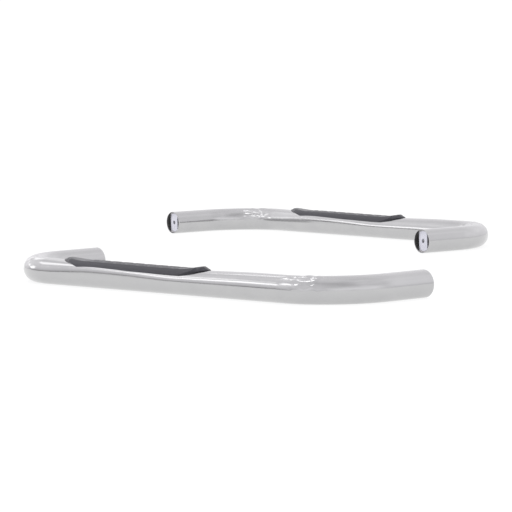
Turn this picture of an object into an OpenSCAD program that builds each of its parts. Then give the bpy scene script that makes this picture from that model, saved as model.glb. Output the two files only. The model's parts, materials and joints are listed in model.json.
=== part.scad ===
// Set of two tubular side steps for a light truck: a left-hand and a right-hand running board.
// Each bar is one bent steel tube that lies flat, with its two legs pointing at the other bar,
// a moulded step pad on top of the long run, and a bolt-on plate set back inside each mouth.
// +X runs from the front of the vehicle to the rear, and +Y from the left-hand bar to the right.
// The origin is the middle of the left-hand bar's front threaded hole, where its nut meets the plate.

/* [Tube] */
// Outside diameter of the tube
tube_diameter = 76.2; // [70:0.1:82]
// Thickness of the tube's wall
tube_wall = 2; // [1.5:0.1:3]
// Straight run between the two bends
run_length = 1000; // [1000:10:1300]
// Radius of both bends, to the middle of the tube
bend_radius = 190; // [140:5:230]
// Straight leg between each bend and its mouth
leg_length = 140; // [80:5:300]

/* [Pad seat] */
// Distance of the pad's middle from the middle of the run, towards the front
pad_offset = 114; // [90:1:120]
// Depth of the shallow seat that is pressed into the top of the tube
seat_depth = 6.5; // [5:0.5:7]
// Distance from the pad's middle to the seat's front end
seat_front_length = 380; // [350:5:380]
// Distance from the pad's middle to the seat's rear end
seat_rear_length = 490; // [400:5:500]
// Distance from the pad's middle to the front end of the seat's level floor
floor_front_length = 60; // [20:5:120]
// Distance from the pad's middle to the rear end of the seat's level floor
floor_rear_length = 150; // [100:5:200]

/* [Step pad] */
// Length of the step pad, from tip to tip
pad_length = 625; // [560:5:640]
// Width of the pad over its skirts
pad_width = 69; // [68:0.5:72]
// Width of the pad's blunt tips
tip_width = 10; // [8:1:30]
// Length over which each end narrows to its tip
taper_length = 110; // [80:5:140]
// Height of the tread's front end above the full round of the tube
tread_front_rise = 1; // [0.5:0.5:3]
// Distance of the tread's rear end below the full round of the tube
tread_rear_drop = 1; // [0:0.5:1.5]
// Height of the raised lip at each end above the full round of the tube
lip_rise = 7.5; // [5:0.5:9]
// Length of the slope from the tread up to each lip
ramp_length = 80; // [60:5:90]
// Length of the bevel from each lip down to the tip
bevel_length = 25; // [15:1:30]
// Distance of the skirts' lower edge below the top of the tube
skirt_drop = 18.5; // [17:0.5:20]

/* [Pad studs] */
// Number of push-in studs that hold down one pad
stud_count = 4; // [2:1:6]
// Diameter of a stud's shank
stud_diameter = 8; // [6:0.5:9]
// Diameter of a stud's flat head
stud_head_diameter = 16; // [12:1:18]
// Length of a stud's barb inside the tube
stud_barb_length = 10; // [8:1:14]

/* [End plates] */
// Width of the strip across each mouth
plate_width = 40; // [30:1:46]
// Thickness of that strip
plate_thickness = 6; // [4:1:8]
// Distance from the rim of the mouth back to the strip's outer face
plate_setback = 6; // [5:0.5:12]
// Diameter of the clearance hole for the bracket bolt
bolt_hole_diameter = 13; // [12.5:0.1:14]
// Leg of the weld bead between the strip and the wall of the tube
weld_leg = 4.5; // [3:0.5:6]

/* [Weld nuts] */
// Width of the nut across its flats
nut_width = 19; // [18:1:24]
// Height of the nut
nut_height = 10; // [8:1:12]
// Diameter of the threaded bore, at the crests of the thread
nut_bore_diameter = 10.2; // [10:0.1:10.5]

/* [Layout] */
// Distance of the right-hand bar ahead of the left-hand bar, between the middles of the runs
layout_shift = 1025; // [0:5:1200]
// Distance between the middles of the two runs, across the vehicle
layout_gap = 1790; // [1000:10:2000]
// Turn of the right-hand bar, clockwise from above
layout_turn = 5.8; // [0:0.1:8]

/* [Hidden] */
$fn = 96;

steel = [0.78, 0.79, 0.81];
zinc = [0.86, 0.86, 0.89];
weld_grey = [0.55, 0.55, 0.57];
black_plastic = [0.13, 0.13, 0.14];
nylon = [0.2, 0.2, 0.2];

tube_radius = tube_diameter / 2;
inner_radius = tube_radius - tube_wall;

// Middle of each mouth, from the middle of the run
mouth_x = run_length / 2 + bend_radius;
mouth_y = bend_radius + leg_length;
// Distance from a rim back to the face where the nut meets the plate
nut_seat = plate_setback + plate_thickness;

// Rise of the seat's two ramps, for each unit of length
front_slope = seat_depth / (seat_front_length - floor_front_length);
rear_slope = seat_depth / (seat_rear_length - floor_rear_length);

// The pad's outside is an arc from one skirt's edge, over the lips' height, to the other
skirt_z = tube_radius - skirt_drop;
lip_z = tube_radius + lip_rise;
tread_front_z = tube_radius + tread_front_rise;
tread_rear_z = tube_radius - tread_rear_drop;
saddle_height = lip_z - skirt_z;
saddle_radius = ((pad_width / 2) ^ 2 + saddle_height ^ 2) / (2 * saddle_height);
// Height of the tips' upper edge
tip_z = tube_radius - 0.5;
// Each end's outline has a knee, at these shares of the taper's length and of its widening
knee_along = 0.35;
knee_across = 0.5;

// Fits around the studs
hole_play = 0.2;
head_thickness = 2;
head_lift = 0.2;
pocket_play = 0.3;
// Share of the pad's length that the row of studs takes up
stud_spread = 0.75;
stud_pitch = stud_spread * pad_length / (stud_count - 1);

// Length by which a cutter runs past the face it cuts
past = 1;

// Height of the seat's floor above the tube's axis, at a distance along the tube from the pad's middle
function seat_z(x) = tube_radius - seat_depth + max(
    0,
    front_slope * (-x - floor_front_length),
    rear_slope * (x - floor_rear_length)
);

// Places of the studs along the tube, from the pad's middle
function stud_places() = [for (i = [0:stud_count - 1]) (i - (stud_count - 1) / 2) * stud_pitch];

// ---- Places ----
// Every sub-part below is drawn on a bar whose run lies along X with its middle at the origin,
// with the front at -X and both legs pointing along +Y.

module on_left() {
    translate([mouth_x, nut_seat - mouth_y, 0])
        children();
}

module on_right() {
    translate([mouth_x - layout_shift, layout_gap + nut_seat - mouth_y, 0])
        rotate([0, 0, -layout_turn])
            mirror([0, 1, 0])
                children();
}

// The middle of the rear mouth, with +Z pointing out of it
module at_rear_mouth() {
    translate([mouth_x, mouth_y, 0])
        rotate([-90, 0, 0])
            children();
}

module at_front_mouth() {
    mirror([1, 0, 0])
        at_rear_mouth()
            children();
}

module at_pad() {
    translate([-pad_offset, 0, 0])
        children();
}

// ---- Tube ----

// One bend and its leg, at the rear
module bend_and_leg(radius, overrun) {
    translate([run_length / 2, bend_radius, 0])
        rotate([0, 0, -90])
            rotate_extrude(angle = 90)
                translate([bend_radius, 0])
                    circle(r = radius);
    translate([mouth_x, bend_radius, 0])
        rotate([-90, 0, 0])
            cylinder(r = radius, h = leg_length + overrun);
}

// A solid bar of one radius along the run
module run_rod(radius) {
    rotate([0, 90, 0])
        cylinder(r = radius, h = run_length, center = true);
}

// A solid bar of one radius along the whole path of the tube
module bent_rod(radius, overrun = 0) {
    run_rod(radius);
    bend_and_leg(radius, overrun);
    mirror([1, 0, 0])
        bend_and_leg(radius, overrun);
}

// The shape of the press tool that forms the pad seat, lowered by a distance: a level floor
// between two long ramps, which run on until they are clear of the tube
module seat_tool(lowered = 0) {
    front_x = -seat_front_length - past / front_slope;
    rear_x = seat_rear_length + past / rear_slope;
    at_pad()
        translate([0, 0, -lowered])
            rotate([90, 0, 0])
                linear_extrude(tube_diameter + 2 * past, center = true)
                    polygon([
                        [front_x, seat_z(front_x)],
                        [-floor_front_length, seat_z(0)],
                        [floor_rear_length, seat_z(0)],
                        [rear_x, seat_z(rear_x)],
                        [rear_x, tube_diameter],
                        [front_x, tube_diameter]
                    ]);
}

module tube_outside() {
    difference() {
        bent_rod(tube_radius);
        seat_tool();
    }
}

module tube_inside() {
    difference() {
        bent_rod(inner_radius, past);
        seat_tool(tube_wall);
    }
}

module tube() {
    color(steel)
        difference() {
            tube_outside();
            tube_inside();
            at_pad()
                for (x = stud_places())
                    translate([x, 0, 0])
                        cylinder(r = stud_diameter / 2 + hole_play, h = tube_diameter);
        }
}

// ---- Step pad ----

// Outline from above, narrowed at both ends. It runs past the tips and the skirts, which the
// side outline and the saddle's arc cut.
module pad_plan() {
    half = pad_length / 2;
    shoulder = half - taper_length;
    half_tip = tip_width / 2;
    half_width = pad_width / 2 + past;
    knee_x = half - knee_along * taper_length;
    knee_y = half_tip + knee_across * (half_width - half_tip);
    quarter = [[half + past, half_tip], [half, half_tip], [knee_x, knee_y], [shoulder, half_width]];
    back = [for (i = [len(quarter) - 1:-1:0]) quarter[i]];
    polygon(concat(
        quarter,
        [for (p = back) [-p.x, p.y]],
        [for (p = quarter) [-p.x, -p.y]],
        [for (p = back) [p.x, -p.y]]
    ));
}

// Outline from the side: a tread that falls a little to the rear, between two ramps, with a lip
// and a bevel at each end
module pad_side() {
    half = pad_length / 2;
    lip = half - bevel_length;
    tread_end = lip - ramp_length;
    polygon([
        [-half, skirt_z],
        [half, skirt_z],
        [half, tip_z],
        [lip, lip_z],
        [tread_end, tread_rear_z],
        [-tread_end, tread_front_z],
        [-lip, lip_z],
        [-half, tip_z]
    ]);
}

module step_pad() {
    color(black_plastic)
        difference() {
            at_pad()
                intersection() {
                    translate([0, 0, lip_z - saddle_radius])
                        rotate([0, 90, 0])
                            cylinder(r = saddle_radius, h = pad_length + 2 * past, center = true);
                    translate([0, 0, skirt_z - past])
                        linear_extrude(saddle_height + 2 * past)
                            pad_plan();
                    rotate([90, 0, 0])
                        linear_extrude(pad_width + 2 * past, center = true)
                            pad_side();
                }
            difference() {
                run_rod(tube_radius);
                seat_tool();
            }
            at_pad()
                for (x = stud_places())
                    translate([x, 0, 0])
                        cylinder(
                            r = stud_head_diameter / 2 + pocket_play,
                            h = seat_z(x) + head_lift + head_thickness + pocket_play
                        );
        }
}

// ---- Pad studs ----

// One stud, with z = 0 on the floor of the seat: a flat head, a shank and a barb below the wall
module stud() {
    shank = stud_diameter / 2;
    barb = shank + 1.5;
    barb_top = -tube_wall - 0.5;
    barb_tip = barb_top - stud_barb_length;
    head_top = head_lift + head_thickness;
    rotate_extrude()
        polygon([
            [0, head_top],
            [stud_head_diameter / 2, head_top],
            [stud_head_diameter / 2, head_lift],
            [shank, head_lift],
            [shank, barb_top],
            [barb, barb_top],
            [shank / 2, barb_tip],
            [0, barb_tip]
        ]);
}

module pad_studs() {
    color(nylon)
        at_pad()
            for (x = stud_places())
                translate([x, 0, seat_z(x)])
                    stud();
}

// ---- Mouth pieces ----
// Each is drawn with +Z pointing out of the mouth and z = 0 on the rim.

// A strip across the mouth, with its two ends rounded to the wall of the tube
module end_plate() {
    color(zinc)
        translate([0, 0, -nut_seat])
            difference() {
                intersection() {
                    cylinder(r = inner_radius, h = plate_thickness);
                    translate([-plate_width / 2, -tube_radius, 0])
                        cube([plate_width, tube_diameter, plate_thickness]);
                }
                translate([0, 0, -past])
                    cylinder(d = bolt_hole_diameter, h = plate_thickness + 2 * past);
            }
}

// A fillet bead at both ends of the strip, between its outer face and the wall of the tube
module plate_welds() {
    half_angle = asin(plate_width / 2 / inner_radius);
    color(weld_grey)
        translate([0, 0, -plate_setback])
            for (turn = [90, 270])
                rotate([0, 0, turn - half_angle])
                    rotate_extrude(angle = 2 * half_angle)
                        polygon([
                            [inner_radius - weld_leg, 0],
                            [inner_radius, 0],
                            [inner_radius, weld_leg]
                        ]);
}

// The nut behind the strip
module weld_nut() {
    corner_radius = nut_width / 2 / cos(30);
    color(zinc)
        translate([0, 0, -nut_seat - nut_height])
            difference() {
                cylinder(r = corner_radius, h = nut_height, $fn = 6);
                translate([0, 0, -past])
                    cylinder(d = nut_bore_diameter, h = nut_height + 2 * past);
            }
}

// ---- Left-hand bar ----

on_left() tube();  // left_tube
on_left() step_pad();  // left_step_pad
on_left() pad_studs();  // left_pad_studs
on_left() at_front_mouth() end_plate();  // left_front_end_plate
on_left() at_rear_mouth() end_plate();  // left_rear_end_plate
on_left() at_front_mouth() plate_welds();  // left_front_plate_welds
on_left() at_rear_mouth() plate_welds();  // left_rear_plate_welds
on_left() at_front_mouth() weld_nut();  // left_front_weld_nut
on_left() at_rear_mouth() weld_nut();  // left_rear_weld_nut

// ---- Right-hand bar ----

on_right() tube();  // right_tube
on_right() step_pad();  // right_step_pad
on_right() pad_studs();  // right_pad_studs
on_right() at_front_mouth() end_plate();  // right_front_end_plate
on_right() at_rear_mouth() end_plate();  // right_rear_end_plate
on_right() at_front_mouth() plate_welds();  // right_front_plate_welds
on_right() at_rear_mouth() plate_welds();  // right_rear_plate_welds
on_right() at_front_mouth() weld_nut();  // right_front_weld_nut
on_right() at_rear_mouth() weld_nut();  // right_rear_weld_nut
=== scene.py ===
# A left-hand and a right-hand tubular running board: bent polished tubes, moulded step pads and
# bolt-on plates in the mouths. All lengths are in metres.
#
# Each bar is drawn once in its own axes: x along the run from the front bend to the rear bend,
# y towards the mouths, z up, with the origin on the tube's axis in the middle of the run. The
# packed mounts say where those axes lie for each bar, and the right-hand bar is a mirror image.
import json
import math

import bpy
import numpy as np
from mathutils import Matrix, Vector, noise


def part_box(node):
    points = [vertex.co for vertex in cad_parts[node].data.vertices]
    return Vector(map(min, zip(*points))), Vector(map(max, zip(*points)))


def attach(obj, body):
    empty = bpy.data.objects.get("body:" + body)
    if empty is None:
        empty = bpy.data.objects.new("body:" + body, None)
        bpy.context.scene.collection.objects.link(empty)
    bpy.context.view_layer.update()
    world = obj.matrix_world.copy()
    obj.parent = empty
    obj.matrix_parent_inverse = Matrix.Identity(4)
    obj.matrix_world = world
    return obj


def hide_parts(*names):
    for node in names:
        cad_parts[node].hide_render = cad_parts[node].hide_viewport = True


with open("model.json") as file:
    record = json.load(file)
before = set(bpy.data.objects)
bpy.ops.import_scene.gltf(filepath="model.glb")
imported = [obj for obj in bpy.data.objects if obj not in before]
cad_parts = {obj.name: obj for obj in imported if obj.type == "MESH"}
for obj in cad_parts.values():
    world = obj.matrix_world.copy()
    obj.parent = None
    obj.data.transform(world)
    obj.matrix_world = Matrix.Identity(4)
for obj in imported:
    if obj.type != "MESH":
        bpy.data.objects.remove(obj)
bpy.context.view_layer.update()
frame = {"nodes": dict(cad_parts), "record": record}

MM = 0.001
MOUNTS = {mount["name"]: mount for mount in frame["record"]["mounts"]}

# ---------------------------------------------------------------- sizes from the frame
# The left-hand bar lies square in the frame, with the seat of its front nut at the origin, so the
# boxes of its nodes give these sizes directly.
TUBE_LOW, TUBE_HIGH = (Vector(corner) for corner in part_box("left_tube"))
TUBE_RADIUS = (TUBE_HIGH.z - TUBE_LOW.z) / 2
FRONT_SEAT, REAR_SEAT = (Vector(MOUNTS[f"left_{end}_bolt"]["pos_m"]) for end in ("front", "rear"))
MOUTH_X = (REAR_SEAT - FRONT_SEAT).length / 2
MOUTH_Y = TUBE_HIGH.y - TUBE_LOW.y - TUBE_RADIUS
NUT_SEAT = TUBE_HIGH.y
PLATE_LOW, PLATE_HIGH = (Vector(corner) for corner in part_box("left_front_end_plate"))
PLATE_WIDTH = PLATE_HIGH.x - PLATE_LOW.x
PLATE_THICKNESS = PLATE_HIGH.y - PLATE_LOW.y
PLATE_SETBACK = NUT_SEAT - PLATE_THICKNESS
INNER_RADIUS = (PLATE_HIGH.z - PLATE_LOW.z) / 2
NUT_LOW, NUT_HIGH = (Vector(corner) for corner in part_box("left_front_weld_nut"))
NUT_HEIGHT = NUT_HIGH.y - NUT_LOW.y
NUT_WIDTH = NUT_HIGH.z - NUT_LOW.z
NUT_BORE_RADIUS = MOUNTS["left_front_bolt"]["dims"]["r_mm"] * MM
PAD_LOW, PAD_HIGH = (Vector(corner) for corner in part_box("left_step_pad"))
PAD_LENGTH = PAD_HIGH.x - PAD_LOW.x
PAD_WIDTH = PAD_HIGH.y - PAD_LOW.y
PAD_X = (PAD_HIGH.x + PAD_LOW.x) / 2 - MOUTH_X
SKIRT_Z = PAD_LOW.z
LIP_Z = PAD_HIGH.z

# ---------------------------------------------------------------- sizes that the frame doesn't hold
BEND_RADIUS = 190 * MM
RUN_LENGTH = 2 * (MOUTH_X - BEND_RADIUS)
LEG_LENGTH = MOUTH_Y - BEND_RADIUS
ARC_LENGTH = BEND_RADIUS * math.pi / 2
PATH_LENGTH = 2 * LEG_LENGTH + 2 * ARC_LENGTH + RUN_LENGTH
# where the run starts and ends, along the tube from the front mouth
RUN_START = LEG_LENGTH + ARC_LENGTH
RUN_END = PATH_LENGTH - LEG_LENGTH - ARC_LENGTH

# the pressed seat, by its depth and by distances along the run from the pad's middle
SEAT_DEPTH = 6.5 * MM
SEAT_FRONT, FLOOR_FRONT, FLOOR_REAR, SEAT_REAR = -380 * MM, -60 * MM, 150 * MM, 490 * MM
SEAT_KNEE = 40 * MM
# where the pressed section is squarest, and where it is round again behind the seat
SQUARE_FRONT, SQUARE_REAR, ROUND_REAR = -120 * MM, -80 * MM, 220 * MM
SQUARENESS = 1.1
SIDE_SWELL = 0.6 * MM

TIP_WIDTH = 9 * MM
TIP_THICKNESS = 1.4 * MM
TAPER_LENGTH = 100 * MM
TREAD_FRONT_Z = TUBE_RADIUS + 0.8 * MM
TREAD_REAR_Z = TUBE_RADIUS - 1.5 * MM
RAMP_LENGTH = 80 * MM
BEVEL_LENGTH = 25 * MM
RIB_HEIGHT = 0.9 * MM
BOLT_HOLE_RADIUS = 6.5 * MM
WELD_LEG = 4.5 * MM
THREAD_PITCH = 1.75 * MM

# wrinkles in each bend: where they lie, counted from the end of the run into the bend, how long
# one is and how deep
MARKS_START, MARKS_END = 15 * MM, 145 * MM
MARK_LENGTH = 42 * MM
MARK_DEPTH = 1.2 * MM


# ---------------------------------------------------------------- mesh helpers
def bar_axes(side):
    """The matrix that carries a point from a bar's own axes into the frame."""
    front = Vector(MOUNTS[f"{side}_front_bolt"]["pos_m"])
    rear = Vector(MOUNTS[f"{side}_rear_bolt"]["pos_m"])
    along = (rear - front).normalized()
    out = Vector(MOUNTS[f"{side}_front_bolt"]["axis"]).normalized()
    origin = (front + rear) / 2 - out * (MOUTH_Y - NUT_SEAT)
    axes = Matrix((along, out, Vector((0, 0, 1)))).transposed().to_4x4()
    return Matrix.Translation(origin) @ axes


def aim_vector(azimuth, elevation):
    """The direction at an azimuth, counted from +X towards +Y, and an elevation, in degrees."""
    azimuth, elevation = math.radians(azimuth), math.radians(elevation)
    level = math.cos(elevation)
    return Vector((level * math.cos(azimuth), level * math.sin(azimuth), math.sin(elevation)))


def smooth_min(a, b, blend):
    """The lower of two heights, rounded over where they meet."""
    share = np.clip(0.5 + 0.5 * (b - a) / blend, 0, 1)
    return b + (a - b) * share - blend * share * (1 - share)


def smooth_step(low, high, value):
    """0 below low, 1 above high, with an easy rise between."""
    share = np.clip((value - low) / (high - low), 0, 1)
    return share * share * (3 - 2 * share)


def grid_faces(rows, columns, wrap_rows=False, wrap_columns=False):
    """Quads over a grid of points numbered row by row."""
    row = np.arange(rows if wrap_rows else rows - 1)[:, None]
    column = np.arange(columns if wrap_columns else columns - 1)[None, :]
    next_row, next_column = (row + 1) % rows, (column + 1) % columns
    corners = (
        row * columns + column,
        next_row * columns + column,
        next_row * columns + next_column,
        row * columns + next_column,
    )
    return np.stack(np.broadcast_arrays(*corners), axis=-1).reshape(-1, 4)


def circle_loop(radius, turns, depth):
    """Points at a radius, or at one radius for each turn, all at one depth."""
    return np.column_stack([radius * np.cos(turns), radius * np.sin(turns), np.full(len(turns), depth)])


def make_piece(name, side, points, faces, materials, face_slots=None, uv=None):
    """A mesh piece from points in the bar's own axes. uv gives one pair for each face corner."""
    mesh = bpy.data.meshes.new(name)
    mesh.from_pydata([tuple(p) for p in points], [], [tuple(int(i) for i in f) for f in faces])
    for material in materials:
        mesh.materials.append(material)
    if face_slots is not None:
        mesh.polygons.foreach_set("material_index", np.asarray(face_slots, dtype=np.int32))
    if uv is not None:
        layer = mesh.uv_layers.new(name="surface")
        layer.data.foreach_set("uv", np.asarray(uv, dtype=np.float32).ravel())
    axes = bar_axes(side)
    mesh.transform(axes)
    if axes.determinant() < 0:
        mesh.flip_normals()
    mesh.polygons.foreach_set("use_smooth", np.ones(len(mesh.polygons), dtype=bool))
    mesh.update()
    piece = bpy.data.objects.new(name, mesh)
    bpy.context.scene.collection.objects.link(piece)
    return piece


def settle(piece, side, node):
    """Rides a piece on its bar, in place of a CAD node."""
    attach(piece, f"{side}_bar")
    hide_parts(node)


# ---------------------------------------------------------------- material helpers
def new_material(name, metallic=0.0):
    """A material with its node tree and its shader."""
    material = bpy.data.materials.new(name)
    material.use_nodes = True
    tree = material.node_tree
    shader = tree.nodes["Principled BSDF"]
    shader.inputs["Metallic"].default_value = metallic
    return material, tree, shader


def add_node(tree, kind, values=(), links=(), **settings):
    """One node: settings are its properties, values its input values, links its input links."""
    node = tree.nodes.new(kind)
    for key, value in settings.items():
        setattr(node, key, value)
    for key, value in dict(values).items():
        node.inputs[key].default_value = value
    for key, socket in dict(links).items():
        tree.links.new(socket, node.inputs[key])
    return node


def coordinates(tree, kind):
    """A surface point's coordinates: UV, Object or Generated."""
    return add_node(tree, "ShaderNodeTexCoord").outputs[kind]


def add_noise(tree, vector, scale, detail, stretch=(1, 1, 1)):
    """Noise over a vector, after each axis is stretched."""
    mapping = add_node(tree, "ShaderNodeMapping", {"Scale": stretch}, {"Vector": vector})
    return add_node(
        tree,
        "ShaderNodeTexNoise",
        {"Scale": scale, "Detail": detail, "Roughness": 0.6},
        {"Vector": mapping.outputs["Vector"]},
    ).outputs["Fac"]


def add_range(tree, value, low, high, from_low=0.3, from_high=0.7):
    """Maps a value onto a range. Nearly all noise lies between 0.3 and 0.7."""
    return add_node(
        tree,
        "ShaderNodeMapRange",
        {"From Min": from_low, "From Max": from_high, "To Min": low, "To Max": high},
        {"Value": value},
    ).outputs["Result"]


def add_math(tree, operation, first, second):
    """One sum over two values, each a number or a socket."""
    node = add_node(tree, "ShaderNodeMath", operation=operation)
    for place, value in enumerate((first, second)):
        if isinstance(value, float):
            node.inputs[place].default_value = value
        else:
            tree.links.new(value, node.inputs[place])
    return node.outputs["Value"]


def add_lobe(tree, direction, azimuth, elevation, spread, away, toward):
    """A value that goes from away to toward as a direction comes within a spread, in degrees, of one."""
    dot = add_node(
        tree,
        "ShaderNodeVectorMath",
        {1: aim_vector(azimuth, elevation)},
        {0: direction},
        operation="DOT_PRODUCT",
    )
    edge = math.cos(math.radians(spread))
    return add_range(tree, dot.outputs["Value"], away, toward, edge, 1.0)


def set_colour(tree, shader, value, dark, light):
    """Colours the shader with two colours mixed by a value. The colour sockets are picked by place."""
    node = add_node(tree, "ShaderNodeMix", data_type="RGBA")
    colour_a, colour_b = (s for s in node.inputs if s.type == "RGBA")
    colour_a.default_value = (*dark, 1)
    colour_b.default_value = (*light, 1)
    tree.links.new(value, node.inputs["Factor"])
    mixed = next(s for s in node.outputs if s.type == "RGBA")
    tree.links.new(mixed, shader.inputs["Base Color"])


def set_roughness(tree, shader, value):
    """Gives the shader its roughness."""
    tree.links.new(value, shader.inputs["Roughness"])


def set_bump(tree, shader, height, distance, strength):
    """Bump from a height onto the shader."""
    bump = add_node(
        tree, "ShaderNodeBump", {"Distance": distance, "Strength": strength}, {"Height": height}
    )
    tree.links.new(bump.outputs["Normal"], shader.inputs["Normal"])


# ---------------------------------------------------------------- materials
def polished_steel():
    """Polished stainless tube: fine polishing lines along the tube and faint cloudy patches."""
    material, tree, shader = new_material("polished_stainless", metallic=1.0)
    surface = coordinates(tree, "UV")
    lines = add_noise(tree, surface, 1.0, 4, stretch=(4, 900, 1))
    clouds = add_noise(tree, surface, 14.0, 3)
    set_colour(tree, shader, clouds, (0.485, 0.485, 0.492), (0.555, 0.555, 0.556))
    line_roughness = add_range(tree, lines, 0.09, 0.17)
    cloud_roughness = add_range(tree, clouds, 0.0, 0.05)
    set_roughness(tree, shader, add_math(tree, "ADD", line_roughness, cloud_roughness))
    set_bump(tree, shader, lines, 0.02 * MM, 0.35)
    return material


def cut_steel():
    """The sawn rim of the tube: satin, with fine scratches."""
    material, tree, shader = new_material("cut_rim", metallic=1.0)
    scratches = add_noise(tree, coordinates(tree, "Object"), 900.0, 3)
    set_roughness(tree, shader, add_range(tree, scratches, 0.22, 0.4))
    set_colour(tree, shader, scratches, (0.42, 0.42, 0.43), (0.64, 0.64, 0.65))
    return material


def painted_shade_inside_steel():
    """The unpolished inside of the tube: dull, painted near-black as shade for the hollow, with stains and
    draw lines.
    """
    material, tree, shader = new_material("tube_inside", metallic=0.6)
    surface = coordinates(tree, "UV")
    lines = add_noise(tree, surface, 1.0, 4, stretch=(6, 500, 1))
    patches = add_noise(tree, surface, 30.0, 4)
    # painted shade: both greys are far darker than bare steel and stand in for the shade inside the tube;
    # the patches between them are stains
    set_colour(tree, shader, patches, (0.07, 0.07, 0.076), (0.19, 0.185, 0.18))
    set_roughness(tree, shader, add_range(tree, lines, 0.45, 0.75))
    set_bump(tree, shader, lines, 0.1 * MM, 0.5)
    return material


def moulded_plastic():
    """Black moulded plastic: a fine spark-eroded grain, with a slight bloom in patches."""
    material, tree, shader = new_material("moulded_black_plastic")
    shader.inputs["Specular IOR Level"].default_value = 0.55
    place = coordinates(tree, "Object")
    grain = add_noise(tree, place, 1600.0, 2)
    bloom = add_noise(tree, place, 25.0, 4)
    set_colour(tree, shader, bloom, (0.012, 0.012, 0.02), (0.022, 0.022, 0.032))
    set_roughness(tree, shader, add_range(tree, grain, 0.26, 0.36))
    set_bump(tree, shader, grain, 0.1 * MM, 0.4)
    return material


def satin_plate():
    """The pale flat strip: rolled finish with faint lines and specks."""
    material, tree, shader = new_material("satin_plate", metallic=0.5)
    place = coordinates(tree, "Object")
    rolled = add_noise(tree, place, 1.0, 3, stretch=(1500, 1500, 60))
    specks = add_noise(tree, place, 320.0, 5)
    set_colour(tree, shader, specks, (0.6, 0.6, 0.67), (0.78, 0.78, 0.85))
    set_roughness(tree, shader, add_range(tree, rolled, 0.3, 0.45))
    set_bump(tree, shader, rolled, 0.05 * MM, 0.4)
    return material


def weld_metal():
    """Weld beads: dull grey with heat tint."""
    material, tree, shader = new_material("weld_bead", metallic=1.0)
    tint = add_noise(tree, coordinates(tree, "Object"), 260.0, 4)
    set_colour(tree, shader, tint, (0.28, 0.28, 0.31), (0.56, 0.54, 0.52))
    set_roughness(tree, shader, add_range(tree, tint, 0.35, 0.6))
    set_bump(tree, shader, tint, 0.2 * MM, 0.5)
    return material


def zinc_nut():
    """Zinc-plated nut: a plain grey with blotches."""
    material, tree, shader = new_material("zinc_nut", metallic=1.0)
    blotches = add_noise(tree, coordinates(tree, "Object"), 400.0, 4)
    set_colour(tree, shader, blotches, (0.3, 0.3, 0.31), (0.5, 0.5, 0.51))
    set_roughness(tree, shader, add_range(tree, blotches, 0.25, 0.45))
    return material


def nylon():
    """The studs' nylon: smooth, slightly mottled."""
    material, tree, shader = new_material("black_nylon")
    mottle = add_noise(tree, coordinates(tree, "Object"), 500.0, 3)
    set_colour(tree, shader, mottle, (0.03, 0.03, 0.03), (0.07, 0.07, 0.07))
    set_roughness(tree, shader, add_range(tree, mottle, 0.35, 0.5))
    return material


# ---------------------------------------------------------------- the tube
def path_point(s):
    """The tube's centre line at a distance from the front mouth: x, y and the direction there."""

    def bend_point(middle_x, turn):
        x = middle_x + BEND_RADIUS * math.cos(turn)
        return x, BEND_RADIUS + BEND_RADIUS * math.sin(turn), -math.sin(turn), math.cos(turn)

    if s <= LEG_LENGTH:
        return -MOUTH_X, MOUTH_Y - s, 0.0, -1.0
    s -= LEG_LENGTH
    if s <= ARC_LENGTH:
        return bend_point(-RUN_LENGTH / 2, math.pi + s / BEND_RADIUS)
    s -= ARC_LENGTH
    if s <= RUN_LENGTH:
        return -RUN_LENGTH / 2 + s, 0.0, 1.0, 0.0
    s -= RUN_LENGTH
    if s <= ARC_LENGTH:
        return bend_point(RUN_LENGTH / 2, 1.5 * math.pi + s / BEND_RADIUS)
    s -= ARC_LENGTH
    return MOUTH_X, BEND_RADIUS + s, 0.0, 1.0


def seat_press(x):
    """How far the top of the tube is pressed down, at a distance along the run from the pad's middle."""

    def knee(t):
        # 0 and then a straight rise, with a soft knee between
        soft = (t + SEAT_KNEE) ** 2 / (4 * SEAT_KNEE)
        return np.where(t < -SEAT_KNEE, 0, np.where(t > SEAT_KNEE, t, soft))

    def ramp(beyond, length):
        return (knee(beyond) - knee(beyond - length)) / length

    front = ramp(FLOOR_FRONT - x, FLOOR_FRONT - SEAT_FRONT)
    rear = ramp(x - FLOOR_REAR, SEAT_REAR - FLOOR_REAR)
    return SEAT_DEPTH * (1 - front - rear)


def section(x, turn, radius):
    """The tube's section across the run: how far a point lies across and up, at a turn from +y
    towards +z. Pressing flattens the top and makes the sides swell and stand steeper."""
    press = seat_press(x)
    share = smooth_step(SEAT_FRONT, SQUARE_FRONT, x) * (1 - smooth_step(SQUARE_REAR, ROUND_REAR, x))
    power = 2 + SQUARENESS * share
    half_width = radius + SIDE_SWELL * share
    cosine, sine = np.cos(turn), np.sin(turn)
    across, up = np.abs(cosine) / half_width, np.abs(sine) / (radius - press)
    upper = (across**power + up**power) ** (-1 / power)
    lower = ((cosine / half_width) ** 2 + (sine / radius) ** 2) ** -0.5
    reach = np.where(sine > 0, upper, lower)
    return reach * cosine, reach * sine


def bend_marks(s, turn):
    """Depth of the shallow wrinkles that bending leaves on the upper side where each bend begins."""
    slant, wander = 2.8, 5
    middle_depth, depth_spread = 0.6, 1.3
    depth = 0.0
    for run_end, away in ((RUN_START, -1), (RUN_END, 1)):
        along = (s - run_end) * away
        if MARKS_START < along < MARKS_END:
            window = math.sin(math.pi * (along - MARKS_START) / (MARKS_END - MARKS_START)) ** 2
            upper = max(math.sin(turn), 0) ** 0.5
            # where the noise is read: along the bend, round it, and apart for the two bends
            place = Vector((along * 18, turn * 1.5, run_end * 7))
            phase = along / MARK_LENGTH * 2 * math.pi + slant * away * (turn - 1.5)
            wave = math.sin(phase + wander * noise.noise(place))
            depth += window * upper * wave * (middle_depth + depth_spread * noise.noise(place * 1.7))
    return depth * MARK_DEPTH


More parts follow.
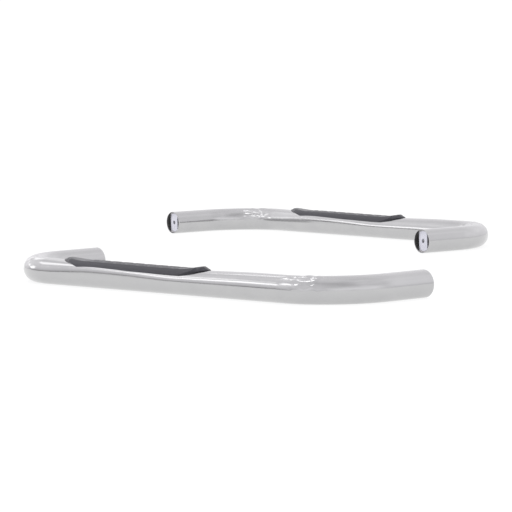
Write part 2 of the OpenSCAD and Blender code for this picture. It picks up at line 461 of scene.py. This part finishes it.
def tube_rings():
    """The closed outline of the tube's wall as (distance along the path, radius, material slot) rings."""
    edge = 0.4 * MM
    soft = 0.3 * edge
    fine, medium, coarse = 1.6 * MM, 3 * MM, 6 * MM
    stations = []
    s = edge
    while s < PATH_LENGTH - edge:
        stations.append(s)
        marked = any(abs(s - run_end) < MARKS_END for run_end in (RUN_START, RUN_END))
        in_leg = s < LEG_LENGTH or s > PATH_LENGTH - LEG_LENGTH
        in_run = RUN_START < s < RUN_END
        s += fine if marked else coarse if in_run or in_leg else medium
    stations.append(PATH_LENGTH - edge)
    outer = [(s, TUBE_RADIUS, 0) for s in stations]
    inner = [(s, INNER_RADIUS, 2) for s in reversed(stations)]
    rear = [
        (PATH_LENGTH - soft, TUBE_RADIUS - soft, 0),
        (PATH_LENGTH, TUBE_RADIUS - edge, 1),
        (PATH_LENGTH, INNER_RADIUS + edge, 1),
    ]
    front = [
        (0.0, INNER_RADIUS + edge, 1),
        (0.0, TUBE_RADIUS - edge, 0),
        (soft, TUBE_RADIUS - soft, 0),
    ]
    return outer + rear + inner + front


def tube_points(rings, turns):
    """The tube's points, ring by ring."""
    points = np.empty((len(rings), len(turns), 3))
    for i, (s, radius, _) in enumerate(rings):
        x, y, dx, dy = path_point(s)
        across, up = section(s - PATH_LENGTH / 2 - PAD_X, turns, radius)
        if radius > (TUBE_RADIUS + INNER_RADIUS) / 2:
            shrink = 1 - np.array([bend_marks(s, t) for t in turns]) / radius
            across, up = across * shrink, up * shrink
        points[i] = np.column_stack([x - dy * across, y + dx * across, up])
    return points.reshape(-1, 3)


def tube_uv(rings, around):
    """One pair for each face corner: metres along the tube and metres round it."""
    lengths = np.array([s for s, _, _ in rings])
    row = np.repeat(np.arange(len(rings)), around)
    column = np.tile(np.arange(around), len(rings))
    girth = 2 * math.pi * TUBE_RADIUS
    this_s, next_s = lengths[row], lengths[(row + 1) % len(rings)]
    this_v, next_v = column / around * girth, (column + 1) / around * girth
    corners = [(this_s, next_v), (next_s, next_v), (next_s, this_v), (this_s, this_v)]
    return np.stack([np.stack(corner, axis=-1) for corner in corners], axis=1).reshape(-1, 2)


def make_tube(side, materials):
    """The bent tube with its pressed seat, as one closed wall."""
    rings = tube_rings()
    around = 144
    turns = np.arange(around) * 2 * math.pi / around
    faces = grid_faces(len(rings), around, wrap_rows=True, wrap_columns=True)[:, ::-1]
    slots = np.repeat([slot for _, _, slot in rings], around)
    points, uv = tube_points(rings, turns), tube_uv(rings, around)
    piece = make_piece(f"{side}_polished_tube", side, points, faces, materials, slots, uv)
    settle(piece, side, f"{side}_tube")


# ---------------------------------------------------------------- the step pad
def pad_half_width(x):
    """Half the pad's width in plan: full, then rounding in to a narrow tip with soft corners."""
    from_tip = PAD_LENGTH / 2 - np.abs(x)
    full, tip = PAD_WIDTH / 2, TIP_WIDTH / 2
    roundness = 1.4
    share = np.clip(from_tip / TAPER_LENGTH, 0, 1)
    width = tip + (full - tip) * (1 - (1 - share) ** roundness) ** (1 / roundness)
    corner = 2.5 * MM
    short = np.clip(corner - from_tip, 0, corner)
    return width - (corner - np.sqrt(np.maximum(corner**2 - short**2, 0)))


def pad_cap(x):
    """Height of the pad's top in side view: tread, ramps, lips and bevels."""
    half = PAD_LENGTH / 2
    lip = half - BEVEL_LENGTH
    foot = lip - RAMP_LENGTH
    steepening = 1.6
    tread = TREAD_FRONT_Z + (TREAD_REAR_Z - TREAD_FRONT_Z) * smooth_step(-foot, foot, x)
    climb = np.clip((np.abs(x) - foot) / RAMP_LENGTH, 0, 2)
    ramp = tread + (LIP_Z - tread) * climb**steepening
    tip = TUBE_RADIUS - seat_press(x) + TIP_THICKNESS
    bevel = tip + (LIP_Z - tip) * (half - np.abs(x)) / BEVEL_LENGTH
    return smooth_min(ramp, bevel, 0.3 * MM)


def tread_ribs(x, y):
    """Height of the raised tread: short bars in staggered rows."""
    height = np.zeros(np.broadcast(x, y).shape)
    pitch, length, width, row_gap = 50 * MM, 36 * MM, 4.5 * MM, 8 * MM
    edge, fade = 0.9 * MM, 12 * MM
    for row in range(-2, 3):
        shift = 0 if row % 2 == 0 else pitch / 2
        from_bar = np.abs((x + shift + pitch / 2) % pitch - pitch / 2)
        from_row = np.abs(y - row * row_gap)
        over = np.maximum(from_bar - (length - width) / 2, 0)
        distance = np.sqrt(over**2 + from_row**2) - width / 2
        height = np.maximum(height, 1 - smooth_step(-edge, 0, distance))
    ends = PAD_LENGTH / 2 - BEVEL_LENGTH - RAMP_LENGTH
    return height * (1 - smooth_step(ends - fade, ends, np.abs(x)))


def pad_grid():
    """The pad's grid: x of each row, closer together at the tips, and each column's place across,
    from -1 to 1, closer together at the skirts."""
    tip_rows = PAD_LENGTH / 2 - np.array([0, 0.15, 0.5, 1.0, 1.6, 2.4, 3.4, 4.6, 6.0]) * MM
    middle_rows = np.linspace(-tip_rows[-1], tip_rows[-1], 400)
    x = np.concatenate([-tip_rows[:-1], middle_rows, tip_rows[:-1][::-1]])[:, None]
    crowding = math.radians(80)
    across = np.sin(np.linspace(-1, 1, 97) * crowding)[None, :] / math.sin(crowding)
    return x, across


def pad_arc(turn):
    """The outside of the pad at its fullest: an arc from skirt to skirt through the lips' height."""
    saddle = LIP_Z - SKIRT_Z
    arc = ((PAD_WIDTH / 2) ** 2 + saddle**2) / (2 * saddle)
    middle = LIP_Z - arc
    reach = middle * np.cos(turn) + np.sqrt(arc**2 - (middle * np.sin(turn)) ** 2)
    return reach * np.sin(turn), reach * np.cos(turn)


def pad_surfaces():
    """The pad's top and bottom as grids of points, with x from the pad's middle."""
    x, across = pad_grid()
    half = PAD_LENGTH / 2
    edge_radius = math.hypot(PAD_WIDTH / 2, SKIRT_Z)
    widest = np.arcsin(np.clip(pad_half_width(x) / edge_radius, 0, 1))
    turn = across * widest
    # underneath: the tube with its seat, sunk a hair so that no gap shows
    sunk, bottom_drop = 0.15 * MM, 0.3 * MM
    under_y, under_z = section(x, math.pi / 2 - turn, TUBE_RADIUS - sunk)
    # outside: the full arc, capped in side view, with the tread on it
    cap_blend, crest_blend = 1.6 * MM, 0.6 * MM
    over_y, over_z = pad_arc(turn)
    over_z = smooth_min(over_z, pad_cap(x), cap_blend)
    over_z = over_z + RIB_HEIGHT * tread_ribs(x, over_y)
    # towards the tips the section becomes a narrow crest that thins out to its edges. Away from
    # them that limit is lifted clear of the pad
    edge_thickness, least_thickness, clear = 1.0 * MM, 0.8 * MM, 30 * MM
    crest = pad_cap(x) - TUBE_RADIUS + seat_press(x)
    endness = smooth_step(half - TAPER_LENGTH, half - BEVEL_LENGTH - 5 * MM, np.abs(x))
    crest_z = under_z + edge_thickness + crest * (1 - across**2) + clear * (1 - endness)
    over_z = smooth_min(over_z, crest_z, crest_blend)
    over_z = np.maximum(over_z, under_z + least_thickness)
    # round the skirts' edges and the tips down onto the tube
    edge_round = 1.0 * MM
    from_edge = (widest - np.abs(turn)) * edge_radius
    from_tip = half - np.abs(x)
    nearest = np.clip(np.minimum(from_edge, from_tip) / edge_round, 0, 1)
    full = np.sqrt(1 - (1 - nearest) ** 2)
    every_x = np.broadcast_to(x, turn.shape)
    top_y, top_z = under_y + (over_y - under_y) * full, under_z + (over_z - under_z) * full
    top = np.stack([every_x, top_y, top_z], axis=-1)
    bottom = np.stack([every_x, under_y, under_z - bottom_drop], axis=-1)
    return top, bottom


def make_pad(side, material):
    """The moulded pad as one closed skin: top, bottom and the narrow wall between their rims."""
    top, bottom = pad_surfaces()
    rows, columns = top.shape[:2]
    points = np.concatenate([top.reshape(-1, 3), bottom.reshape(-1, 3)])
    points[:, 0] += PAD_X
    upper = grid_faces(rows, columns)
    lower = upper[:, ::-1] + rows * columns
    rim = np.concatenate(
        [
            np.arange(columns),
            np.arange(1, rows) * columns + columns - 1,
            (rows - 1) * columns + np.arange(columns - 2, -1, -1),
            np.arange(rows - 2, 0, -1) * columns,
        ]
    )
    after = np.roll(rim, -1)
    wall = np.stack([rim, after, after + rows * columns, rim + rows * columns], axis=-1)
    faces = np.concatenate([upper, lower, wall])
    piece = make_piece(f"{side}_moulded_pad", side, points, faces, [material])
    settle(piece, side, f"{side}_step_pad")


# ---------------------------------------------------------------- pieces in the mouths
def mouth_point(end, across, up, depth):
    """A point in a mouth: across and up from its middle, and back from its rim."""
    return end * MOUTH_X + across, MOUTH_Y - depth, up


def ring_solid(outline, hole, depths):
    """Points and faces of a slab with a hole: both outlines have the same number of points, and
    depths lists (depth, inset) pairs from the outer face to the inner one."""
    count = len(outline)
    loops = []
    for depth, inset in depths:
        shrink = 1 - inset / np.linalg.norm(outline, axis=1, keepdims=True)
        loops.append(np.column_stack([outline * shrink, np.full(count, depth)]))
    for depth, inset in reversed(depths):
        grow = 1 + inset / np.linalg.norm(hole, axis=1, keepdims=True)
        loops.append(np.column_stack([hole * grow, np.full(count, depth)]))
    return np.concatenate(loops), grid_faces(len(loops), count, wrap_rows=True, wrap_columns=True)


def make_plate(side, end, end_name, material):
    """The strip across a mouth, with softened edges and a drilled hole."""
    count = 192
    turns = (np.arange(count) + 0.5) * 2 * math.pi / count
    half = PLATE_WIDTH / 2
    reach = np.minimum(INNER_RADIUS, half / np.maximum(np.abs(np.cos(turns)), 1e-6))
    outline = np.column_stack([reach * np.cos(turns), reach * np.sin(turns)])
    hole = BOLT_HOLE_RADIUS * np.column_stack([np.cos(turns), np.sin(turns)])
    soft = 0.5 * MM
    corner = 0.3 * soft
    front, back = PLATE_SETBACK, PLATE_SETBACK + PLATE_THICKNESS
    depths = [
        (front, soft),
        (front + corner, corner),
        (front + soft, 0.0),
        (back - soft, 0.0),
        (back - corner, corner),
        (back, soft),
    ]
    loops, faces = ring_solid(outline, hole, depths)
    points = [mouth_point(end, *p) for p in loops]
    piece = make_piece(f"{side}_{end_name}_strip", side, points, faces, [material])
    settle(piece, side, f"{side}_{end_name}_end_plate")


def make_nut(side, end, end_name, material):
    """A hexagon nut with chamfered corners and a threaded bore."""
    count = 96
    turns = np.arange(count) * 2 * math.pi / count
    flat = NUT_WIDTH / 2
    sector = math.pi / 3
    hexagon = flat / np.cos((turns + math.pi / 2) % sector - sector / 2)
    chamfer, chamfer_share = 1.2 * MM, 0.96
    chamfered = np.minimum(hexagon, flat * chamfer_share)
    top, base = NUT_SEAT, NUT_SEAT + NUT_HEIGHT
    loops = [
        circle_loop(chamfered, turns, top),
        circle_loop(hexagon, turns, top + chamfer),
        circle_loop(hexagon, turns, base - chamfer),
        circle_loop(chamfered, turns, base),
    ]
    rings_per_pitch = 12
    steps = int(round(NUT_HEIGHT / THREAD_PITCH * rings_per_pitch))
    groove = 0.45 * THREAD_PITCH
    for step in range(steps + 1):
        depth = base - NUT_HEIGHT * step / steps
        phase = (depth / THREAD_PITCH + turns / (2 * math.pi)) % 1
        radius = NUT_BORE_RADIUS + groove * (1 - np.abs(2 * phase - 1))
        loops.append(circle_loop(radius, turns, depth))
    faces = grid_faces(len(loops), count, wrap_rows=True, wrap_columns=True)
    points = [mouth_point(end, *p) for p in np.concatenate(loops)]
    piece = make_piece(f"{side}_{end_name}_threaded_nut", side, points, faces, [material])
    piece.data.polygons.foreach_set("use_smooth", np.zeros(len(piece.data.polygons), dtype=bool))
    settle(piece, side, f"{side}_{end_name}_weld_nut")


def weld_bead(middle):
    """One bead as rows of points: a rippled, slightly hollow face and one buried root point a row."""
    half_angle = math.asin(PLATE_WIDTH / 2 / INNER_RADIUS)
    along = np.linspace(-1, 1, 90)[:, None]
    across = np.linspace(0, math.pi / 2, 9)[None, :]
    turn = middle + along * half_angle + 0 * across
    ripple_depth, ripple_length = 0.10, 1.3 * MM
    ripple = 1 + ripple_depth * np.abs(np.sin(along * half_angle * INNER_RADIUS / ripple_length))
    # the bead keeps its size nearly to its ends, and its legs stay inside the CAD fillet
    end_size, end_bluntness, leg_share = 0.35, 12, 0.96
    ends = np.sqrt(np.clip(1 - np.abs(along) ** end_bluntness, 0, 1))
    size = WELD_LEG * ripple * (end_size + (1 - end_size) * ends) * leg_share
    hollow, reach = 0.97, 0.9
    inward = size * (1 - np.sin(across) * hollow) * reach
    forward = size * (1 - np.cos(across) * hollow) * reach
    radius = INNER_RADIUS - inward
    depth = PLATE_SETBACK - forward
    face = np.stack([radius * np.cos(turn), radius * np.sin(turn), depth + 0 * turn], axis=-1)
    buried = 0.2 * MM
    row_turn = turn[:, :1]
    root_radius, root_depth = INNER_RADIUS + buried, np.full_like(row_turn, PLATE_SETBACK + buried)
    root = np.stack([root_radius * np.cos(row_turn), root_radius * np.sin(row_turn), root_depth], axis=-1)
    return np.concatenate([face, root], axis=1)


def make_welds(side, end, end_name, material):
    """A rippled fillet bead at the top and the bottom of the strip."""
    points, faces = [], []
    for middle in (math.pi / 2, -math.pi / 2):
        bead = weld_bead(middle)
        rows, columns = bead.shape[:2]
        start = sum(len(p) for p in points)
        points.append(bead.reshape(-1, 3))
        faces.append(grid_faces(rows, columns, wrap_columns=True) + start)
        faces.append([list(start + np.arange(columns))[::-1]])
        faces.append([list(start + (rows - 1) * columns + np.arange(columns))])
    all_faces = [tuple(f) for group in faces for f in group]
    all_points = [mouth_point(end, *p) for p in np.concatenate(points)]
    piece = make_piece(f"{side}_{end_name}_weld_beads", side, all_points, all_faces, [material])
    settle(piece, side, f"{side}_{end_name}_plate_welds")


# ---------------------------------------------------------------- stage, light and camera
def make_floor():
    """A wide pale floor, partly bright of its own so that shadows stay faint."""
    size = 60.0
    mesh = bpy.data.meshes.new("floor")
    low = TUBE_LOW.z - 0.2 * MM
    corners = [(-size, -size, low), (size, -size, low), (size, size, low), (-size, size, low)]
    mesh.from_pydata(corners, [], [(0, 1, 2, 3)])
    floor = bpy.data.objects.new("floor", mesh)
    bpy.context.scene.collection.objects.link(floor)
    material, _, shader = new_material("pale_floor")
    shader.inputs["Base Color"].default_value = (0.2, 0.2, 0.2, 1)
    shader.inputs["Roughness"].default_value = 0.9
    shader.inputs["Emission Color"].default_value = (1, 1, 1, 1)
    shader.inputs["Emission Strength"].default_value = 0.85
    shader.inputs["Specular IOR Level"].default_value = 0.0
    mesh.materials.append(material)


def tent_ramp(tree, direction):
    """The tent's grey by height: dark at the horizon, pale above it."""
    height = add_node(tree, "ShaderNodeSeparateXYZ", links={"Vector": direction}).outputs["Z"]
    ramp = add_node(tree, "ShaderNodeValToRGB", links={"Fac": height})
    stops = ((0.0, 0.9), (0.004, 0.45), (0.04, 0.5), (0.12, 0.93), (0.3, 1.0), (0.6, 0.92), (1.0, 0.9))
    elements = ramp.color_ramp.elements
    while len(elements) < len(stops):
        elements.new(0.5)
    for element, (position, grey) in zip(elements, stops):
        element.position = position
        element.color = (grey, grey, grey, 1)
    return ramp.outputs["Color"]


def make_world():
    """A light tent: pale all round and a little cloudy, with a dimmer patch above the camera and a
    dark gap at the horizon, deepest where the runs mirror it. The camera sees plain white behind."""
    world = bpy.data.worlds.new("light_tent")
    bpy.context.scene.world = world
    world.use_nodes = True
    tree = world.node_tree
    background = tree.nodes["Background"]
    direction = coordinates(tree, "Generated")
    gap = add_lobe(tree, direction, azimuth=-142, elevation=0, spread=40, away=0.2, toward=1.3)
    shade = add_lobe(tree, direction, azimuth=-50, elevation=46, spread=38, away=1.0, toward=0.74)
    clouds = add_range(tree, add_noise(tree, direction, 1.7, 2), 0.92, 1.22)
    camera_ray = add_node(tree, "ShaderNodeLightPath").outputs["Is Camera Ray"]
    missing = add_math(tree, "SUBTRACT", 1.0, tent_ramp(tree, direction))
    glow = add_math(tree, "SUBTRACT", 1.0, add_math(tree, "MULTIPLY", missing, gap))
    cloudy = add_math(tree, "MULTIPLY", add_math(tree, "MULTIPLY", glow, clouds), shade)
    plain_white = add_math(tree, "MULTIPLY", camera_ray, 1.1)
    tree.links.new(add_math(tree, "MAXIMUM", cloudy, plain_white), background.inputs["Strength"])
    background.inputs["Color"].default_value = (0.985, 0.975, 1.0, 1)


def add_soft_box(name, azimuth, elevation, width, height, radiance, distance):
    """A soft box seen from the left-hand run's middle: its place and its size are angles in degrees,
    with azimuth counted from +X towards +Y."""
    aim = aim_vector(azimuth, elevation)
    light = bpy.data.lights.new(name, "AREA")
    light.shape = "RECTANGLE"
    light.size = 2 * distance * math.tan(math.radians(width / 2))
    light.size_y = 2 * distance * math.tan(math.radians(height / 2))
    light.energy = radiance * math.pi * light.size * light.size_y
    lamp = bpy.data.objects.new(name, light)
    bpy.context.scene.collection.objects.link(lamp)
    lamp.location = bar_axes("left").translation + aim * distance
    lamp.rotation_mode = "QUATERNION"
    lamp.rotation_quaternion = aim.to_track_quat("Z", "Y")
    lamp.visible_camera = False


def make_camera():
    """The camera, by its place from the middle of the left-hand run and its turns in degrees."""
    place, yaw, pitch, roll, lens = (6.43, -5.45, 0.729), 47.95, 4.54, -1.21, 214.7
    camera = bpy.data.cameras.new("camera")
    camera.lens = lens
    camera.clip_end = 200
    holder = bpy.data.objects.new("camera", camera)
    bpy.context.scene.collection.objects.link(holder)
    yaw, pitch, roll = (math.radians(a) for a in (yaw, pitch, roll))
    forward = Vector((-math.sin(yaw) * math.cos(pitch), math.cos(yaw) * math.cos(pitch), -math.sin(pitch)))
    level = Vector((math.cos(yaw), math.sin(yaw), 0))
    upright = level.cross(forward)
    right = level * math.cos(roll) + upright * math.sin(roll)
    up = upright * math.cos(roll) - level * math.sin(roll)
    turn = Matrix((right, up, -forward)).transposed().to_4x4()
    holder.matrix_world = Matrix.Translation(bar_axes("left") @ Vector(place)) @ turn
    bpy.context.scene.camera = holder


# Each soft box by its name, azimuth, elevation, width and height in degrees, radiance and distance.
SOFT_BOXES = (
    # the white streak along each run, its front part, and the thinner streak above it
    ("streak_box", -142, 25.5, 12, 7, 1.3, 6.0),
    ("far_streak_box", -166, 11, 10, 8, 1.3, 6.0),
    ("front_streak_box", -164, 34, 26, 5, 0.9, 6.0),
    ("upper_box", 154, 43, 14, 5, 0.9, 2.7),
    # the patches on the front bend, with a wide faint fill
    ("end_panel_low", 180, 12, 9, 7, 0.8, 6.0),
    ("end_panel_high", 158, 22, 9, 6, 0.6, 6.0),
    ("end_fill", 168, 18, 34, 26, 0.1, 6.0),
    # the long patch where a streak runs into a bend
    ("blob_panel", -124, 36, 16, 11, 1.1, 6.0),
    # small bright panels that the wrinkles catch
    ("bend_panel", -104, 42, 6, 6, 3, 6.0),
    ("rear_panel", -77, 47, 5, 5, 3, 6.0),
    ("high_panel_a", 179, 54, 6, 4, 3, 6.0),
    ("high_panel_b", 150, 54, 6, 4, 3, 6.0),
    ("top_panel", -133, 71, 6, 6, 3, 6.0),
)


# ---------------------------------------------------------------- the scene
TUBE_MATERIALS = [polished_steel(), cut_steel(), painted_shade_inside_steel()]
PLASTIC = moulded_plastic()
PLATE = satin_plate()
WELD = weld_metal()
NUT = zinc_nut()
NYLON = nylon()

make_camera()
for side in ("left", "right"):
    make_tube(side, TUBE_MATERIALS)
    make_pad(side, PLASTIC)
    for end, end_name in ((-1, "front"), (1, "rear")):
        make_plate(side, end, end_name, PLATE)
        make_nut(side, end, end_name, NUT)
        make_welds(side, end, end_name, WELD)
    studs = frame["nodes"][f"{side}_pad_studs"]
    studs.data.materials.clear()
    studs.data.materials.append(NYLON)

make_floor()
make_world()
for soft_box in SOFT_BOXES:
    add_soft_box(*soft_box)
bpy.context.scene.view_settings.view_transform = "Standard"
